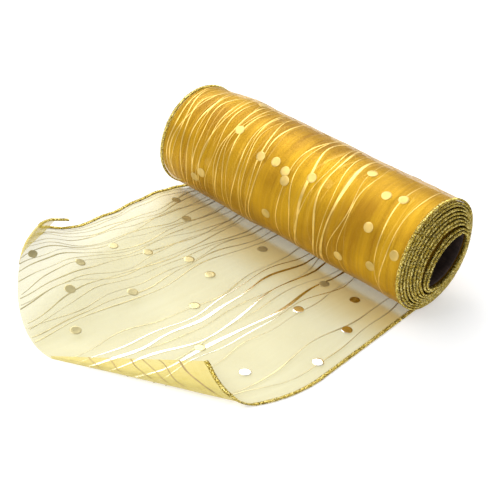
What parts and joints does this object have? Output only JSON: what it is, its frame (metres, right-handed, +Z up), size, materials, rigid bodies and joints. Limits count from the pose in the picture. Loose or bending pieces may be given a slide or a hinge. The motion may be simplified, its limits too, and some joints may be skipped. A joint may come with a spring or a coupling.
{
  "type": "ribbon roll",
  "caption": "Roll of wide sheer wired-edge ribbon on a squashed paperboard core, with its loose end paid out and one corner folded over.",
  "frame": {"origin": "on the floor, at the middle of the box round the whole object", "axes": "+Z up; +Y along the roll's axis, towards the ribbon's left edge; -X the way the loose end points"},
  "size_m": [0.1756, 0.1568, 0.0585],
  "materials": {
    "sheer": "satin",
    "binding": "satin",
    "foil": "polished",
    "wire": "satin",
    "paperboard": "matte",
    "tape": "satin"
  },
  "bodies": {
    "tail": {"tail_web": "sheer", "tail_left_binding": "binding", "tail_right_binding": "binding", "tail_left_wire": "wire", "tail_right_wire": "wire", "tail_foil_dots": "foil"},
    "lead": {"lead_web": "sheer", "lead_left_binding": "binding", "lead_right_binding": "binding", "lead_left_wire": "wire", "lead_right_wire": "wire"},
    "roll": {"core_tube": "paperboard", "start_tape": "tape", "roll_web": "sheer", "roll_left_binding": "binding", "roll_right_binding": "binding", "roll_left_wire": "wire", "roll_right_wire": "wire", "roll_foil_dots": "foil"},
    "corner_flap": {"flap_web": "sheer", "flap_binding": "binding", "flap_wire": "wire"}
  },
  "joints": [
    {"name": "roll_travel", "type": "slide", "parent": "tail", "child": "lead", "axis": [1, 0, 0], "range_m": [0, 0.18692]},
    {"name": "roll_turn", "type": "hinge", "parent": "lead", "child": "roll", "pos_m": [0.05892, 0.00337, 0.0303], "axis": [0, 1, 0], "range_deg": [-1, 361]},
    {"name": "corner_fold", "type": "hinge", "parent": "tail", "child": "corner_flap", "pos_m": [-0.04683, -0.06022, 0.0034], "axis": [0.4258, -0.9048, 0], "range_deg": [0, 165]}
  ],
  "couplings": [
    {"joint": "roll_turn", "follows": "roll_travel", "rad_per_m": 33.613}
  ]
}
